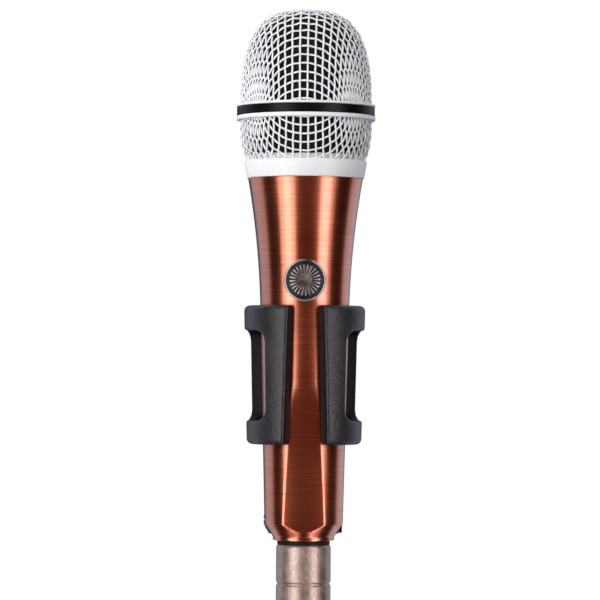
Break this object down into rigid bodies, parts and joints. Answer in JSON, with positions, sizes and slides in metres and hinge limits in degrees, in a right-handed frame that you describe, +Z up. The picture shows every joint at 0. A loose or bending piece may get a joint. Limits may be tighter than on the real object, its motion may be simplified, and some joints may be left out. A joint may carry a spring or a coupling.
{
  "type": "handheld microphone in a stand clip",
  "caption": "Handheld dynamic vocal microphone with a flared copper handle and a woven-wire head, held in a tapered tilting stand clip, with a latching cable connector plugged in.",
  "frame": {"origin": "centre of the stand thread's mouth on the clip's swivel base", "axes": "+Z up along the microphone, +Y out of the stand thread, so the microphone's front faces -Y"},
  "size_m": [0.0482, 0.0861, 0.2413],
  "materials": {
    "copper": "satin",
    "badge_metal": "satin",
    "white_paint": "satin",
    "black_paint": "gloss",
    "dark_foam": "matte",
    "black_rubber": "matte",
    "clip_plastic": "matte",
    "black_plastic": "satin",
    "pale_plastic": "satin",
    "nickel": "satin",
    "steel": "satin",
    "grey_metal": "satin",
    "film": "gloss",
    "coil_wire": "gloss",
    "gold_plate": "polished",
    "brass": "satin",
    "board": "matte",
    "red_lead": "satin",
    "blue_lead": "satin"
  },
  "bodies": {
    "stand_base": {"swivel_base": "clip_plastic", "thread_insert": "brass"},
    "clip": {"clip": "clip_plastic", "pivot_screw": "steel", "pivot_nut": "steel", "friction_washers": "pale_plastic"},
    "microphone": {"handle": "copper", "badge": "badge_metal", "shock_mount": "black_rubber", "capsule_body": "black_plastic", "yoke": "steel", "magnet": "steel", "pole_plate": "steel", "voice_coil": "coil_wire", "diaphragm": "film", "capsule_cap": "grey_metal", "transformer": "steel", "transformer_sleeve": "black_rubber", "terminal_board": "board", "capsule_leads": "red_lead", "output_leads": "blue_lead", "socket_insert": "black_plastic", "socket_pins": "gold_plate", "socket_screw": "steel"},
    "head_grille": {"upper_mesh": "white_paint", "lower_mesh": "white_paint", "grille_ring": "white_paint", "name_band": "black_paint", "grille_collar": "white_paint", "foam_liner": "dark_foam"},
    "plug": {"plug_shell": "nickel", "plug_seal": "black_rubber", "plug_insert": "black_plastic", "plug_contacts": "gold_plate", "latch_pin": "steel", "plug_chuck": "pale_plastic", "plug_bushing": "black_plastic"},
    "latch": {"plug_latch": "nickel"}
  },
  "joints": [
    {"name": "clip_tilt", "type": "hinge", "parent": "stand_base", "child": "clip", "pos_m": [0, -0.036, 0], "axis": [1, 0, 0], "range_deg": [-20, 90]},
    {"name": "mic_lift", "type": "slide", "parent": "clip", "child": "microphone", "axis": [0, 0, 1], "range_m": [0, 0.15]},
    {"name": "grille_lift", "type": "slide", "parent": "microphone", "child": "head_grille", "axis": [0, 0, 1], "range_m": [0, 0.06]},
    {"name": "plug_pull", "type": "slide", "parent": "microphone", "child": "plug", "axis": [0, 0, -1], "range_m": [0, 0.03]},
    {"name": "latch_press", "type": "hinge", "parent": "plug", "child": "latch", "pos_m": [0, -0.05548, -0.0176], "axis": [1, 0, 0], "range_deg": [0, 4], "stiffness_Nm_per_rad": 0.2, "springref_deg": -1.72}
  ]
}
